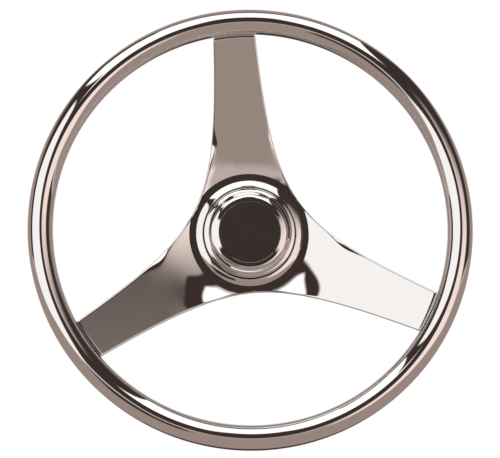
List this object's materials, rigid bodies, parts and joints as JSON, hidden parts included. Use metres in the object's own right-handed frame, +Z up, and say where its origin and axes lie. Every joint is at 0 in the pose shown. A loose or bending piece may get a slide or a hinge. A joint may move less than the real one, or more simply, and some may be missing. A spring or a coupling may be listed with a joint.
{
  "type": "ship steering wheel",
  "caption": "Dished boat steering wheel of polished stainless steel: tube rim, pressed spider with flared arms, keyed hub behind it and a stepped snap-in centre cap with a gloss black disc.",
  "frame": {"origin": "middle of the hub's rear face, on the axis of the shaft bore", "axes": "+Y along the shaft axis towards the boat's dash, so the helmsman's side faces -Y; +Z up through the middle of one arm; +X to the helmsman's right"},
  "size_m": [0.35, 0.0809, 0.35],
  "materials": {
    "polished_stainless": "mirror-polished 316 stainless steel",
    "mill_stainless": "mill finish stainless steel",
    "dressed_weld": "weld bead, wire-brushed, slightly heat tinted",
    "hub_alloy": "turned marine aluminium, fine lathe lines",
    "fastener_steel": "plain stainless fasteners",
    "spring_wire": "drawn spring wire",
    "white_nylon": "natural nylon sheet",
    "blue_nylon": "moulded nylon",
    "carrier_acetal": "black moulded acetal",
    "black_rubber": "black nitrile rubber",
    "foam_tape": "grey foam adhesive tape",
    "black_gloss": "gloss black, clear-coated"
  },
  "bodies": {
    "wheel": {"rim_tube": "polished_stainless", "rim_joint_sleeve": "mill_stainless", "rim_butt_weld": "polished_stainless", "spoke_plate": "polished_stainless", "arm_welds": "dressed_weld", "hub": "hub_alloy", "hub_isolator": "white_nylon", "hub_screws": "fastener_steel", "screw_washers": "fastener_steel", "grub_screws": "fastener_steel", "shaft_washer": "fastener_steel", "shaft_nut": "fastener_steel", "nut_insert": "blue_nylon", "cap_carrier": "carrier_acetal", "trim_gasket": "black_rubber", "trim_ring": "polished_stainless", "cap_seal_ring": "black_rubber"},
    "centre_cap": {"cap_shell": "polished_stainless", "cap_pad": "foam_tape", "cap_disc": "black_gloss", "cap_liner": "carrier_acetal", "cap_spring_ring": "spring_wire"}
  },
  "joints": [
    {"name": "cap_pull", "type": "slide", "parent": "wheel", "child": "centre_cap", "axis": [0, -1, 0], "range_m": [0, 0.025]}
  ]
}
